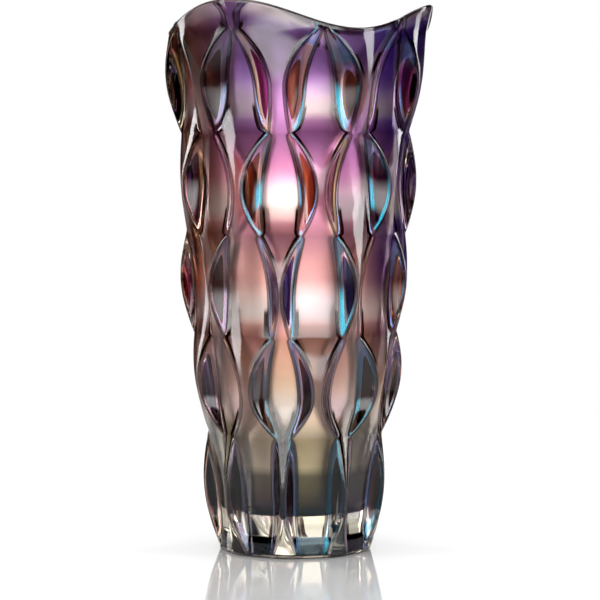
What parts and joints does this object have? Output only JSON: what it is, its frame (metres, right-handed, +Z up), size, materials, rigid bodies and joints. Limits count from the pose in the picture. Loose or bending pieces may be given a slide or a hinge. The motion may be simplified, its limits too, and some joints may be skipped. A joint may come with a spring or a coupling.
{
  "type": "art glass vase",
  "caption": "Tall flaring art glass vase with a thick solid foot, deep staggered relief on the wall and a wavy lip, for holding cut flowers.",
  "frame": {"origin": "middle of the footprint box, on the flat underside of the foot", "axes": "+Z up along the vase, -Y is the front, +X is the viewer's right and points at one high point of the wavy lip"},
  "size_m": [0.1465, 0.1441, 0.2985],
  "materials": {
    "foot_glass": "polished clear glass with a smoky gold and olive iridescent tint",
    "wall_glass": "polished clear relief glass with an iridescent tint from smoky gold through rose to violet",
    "lip_glass": "fire-polished clear glass with a violet iridescent tint"
  },
  "bodies": {
    "root": {"foot_block": "foot_glass", "relief_wall": "wall_glass", "lip": "lip_glass"}
  },
  "joints": []
}
